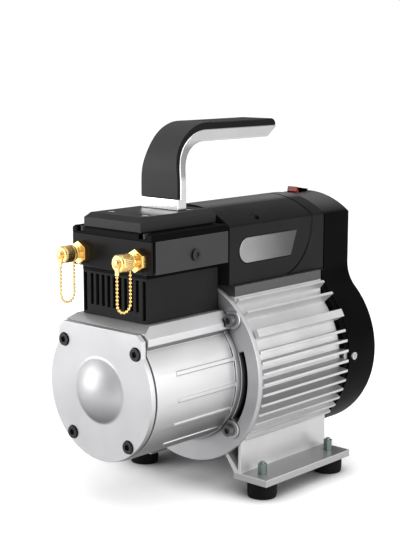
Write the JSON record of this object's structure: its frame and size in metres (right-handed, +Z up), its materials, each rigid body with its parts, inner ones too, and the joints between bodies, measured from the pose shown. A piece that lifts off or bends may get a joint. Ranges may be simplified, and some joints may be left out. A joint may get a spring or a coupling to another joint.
{
  "type": "refrigerant recovery machine",
  "caption": "Portable oil-less recovery compressor: finned motor, round crankcase, black head with capped brass ports on bead chains, cantilever carrying handle, fan cowl with switch",
  "frame": {"origin": "on the ground, under the middle of the machine's box", "axes": "+Z up, +Y along the motor shaft from the front cover to the fan cowl, +X across"},
  "size_m": [0.1672, 0.2798, 0.308],
  "materials": {
    "cast_aluminium": "blasted satin casting",
    "bell_aluminium": "machined satin casting",
    "extruded_aluminium": "plain extruded",
    "machined_aluminium": "machined",
    "polished_aluminium": "polished",
    "black_plastic": "fine moulded texture",
    "cowl_plastic": "satin moulding",
    "black_anodised": "satin black",
    "grey_panel": "satin dark grey",
    "grip_plastic": "fine moulded texture",
    "badge_metal": "brushed, bare",
    "black_steel": "black oxide",
    "dark_steel": "dull zinc",
    "zinc_steel": "bright zinc",
    "bright_steel": "ground",
    "core_steel": "laminated",
    "copper_winding": "enamelled copper",
    "brass": "turned, bright",
    "seal": "plain",
    "gasket": "plain",
    "rubber": "matte",
    "switch_black": "semi gloss",
    "switch_red": "gloss",
    "pin_metal": "nickel plated",
    "capacitor_can": "plain",
    "terminal_plastic": "plain"
  },
  "bodies": {
    "frame": {"front_cover": "cast_aluminium", "crankcase": "cast_aluminium", "motor_front_bell": "bell_aluminium", "motor_rear_bell": "bell_aluminium", "motor_housing": "extruded_aluminium", "cylinder_barrel": "machined_aluminium", "handle_frame": "polished_aluminium", "top_housing": "black_plastic", "head_shroud": "black_plastic", "fan_cowl": "cowl_plastic", "head_block": "black_anodised", "top_plate": "black_anodised", "head_cover": "black_anodised", "side_panels": "grey_panel", "handle_grip": "grip_plastic", "badge_plate": "badge_metal", "cover_screws": "black_steel", "head_cover_screws": "black_steel", "panel_screws": "black_steel", "housing_screws": "black_steel", "handle_screws": "black_steel", "head_bolts": "black_steel", "valve_plate": "black_steel", "crankcase_bolts": "dark_steel", "cowl_screws": "zinc_steel", "top_plate_screws": "zinc_steel", "foot_studs": "zinc_steel", "shaft_bearings": "bright_steel", "suction_reed": "bright_steel", "discharge_reed": "bright_steel", "stator_core": "core_steel", "stator_windings": "copper_winding", "suction_port": "brass", "discharge_port": "brass", "suction_chain": "brass", "discharge_chain": "brass", "cover_gasket": "gasket", "head_gasket": "gasket", "rubber_feet": "rubber", "switch_body": "switch_black", "power_inlet": "switch_black", "inlet_pins": "pin_metal", "capacitor": "capacitor_can", "terminal_block": "terminal_plastic"},
    "rotor": {"motor_shaft": "bright_steel", "rotor_core": "core_steel", "cooling_fan": "black_plastic", "eccentric": "bright_steel", "counterweight": "core_steel"},
    "rod": {"connecting_rod": "machined_aluminium", "crank_bearing": "bright_steel", "wrist_pin": "bright_steel"},
    "piston_body": {"piston": "machined_aluminium", "piston_seal": "seal"},
    "suction_swivel_body": {"suction_swivel": "brass"},
    "suction_cap_body": {"suction_cap": "brass"},
    "discharge_swivel_body": {"discharge_swivel": "brass"},
    "discharge_cap_body": {"discharge_cap": "brass"},
    "rocker_body": {"switch_rocker": "switch_red"}
  },
  "joints": [
    {"name": "rotor_spin", "type": "hinge", "parent": "frame", "child": "rotor", "pos_m": [0, 0, 0.101], "axis": [0, 1, 0], "continuous": true},
    {"name": "rod_swing", "type": "hinge", "parent": "rotor", "child": "rod", "pos_m": [0, -0.06915, 0.107], "axis": [0, 1, 0], "continuous": true},
    {"name": "piston_stroke", "type": "slide", "parent": "frame", "child": "piston_body", "axis": [0, 0, 1], "range_m": [-0.012, 0]},
    {"name": "rocker_tilt", "type": "hinge", "parent": "frame", "child": "rocker_body", "pos_m": [0, 0.1206, 0.2355], "axis": [1, 0, 0], "range_deg": [0, 20]},
    {"name": "suction_cap_lift", "type": "slide", "parent": "frame", "child": "suction_swivel_body", "axis": [0, -1, 0], "range_m": [0, 0.01016]},
    {"name": "suction_cap_turn", "type": "hinge", "parent": "suction_swivel_body", "child": "suction_cap_body", "pos_m": [-0.032, -0.12765, 0.207], "axis": [0, -1, 0], "range_deg": [0, 2880]},
    {"name": "discharge_cap_lift", "type": "slide", "parent": "frame", "child": "discharge_swivel_body", "axis": [0, -1, 0], "range_m": [0, 0.01016]},
    {"name": "discharge_cap_turn", "type": "hinge", "parent": "discharge_swivel_body", "child": "discharge_cap_body", "pos_m": [0.032, -0.12765, 0.207], "axis": [0, -1, 0], "range_deg": [0, 2880]}
  ],
  "couplings": [
    {"joint": "rod_swing", "follows": "rotor_spin", "ratio": -1},
    {"joint": "suction_cap_turn", "follows": "suction_cap_lift", "rad_per_m": 4947.4},
    {"joint": "discharge_cap_turn", "follows": "discharge_cap_lift", "rad_per_m": 4947.4}
  ]
}
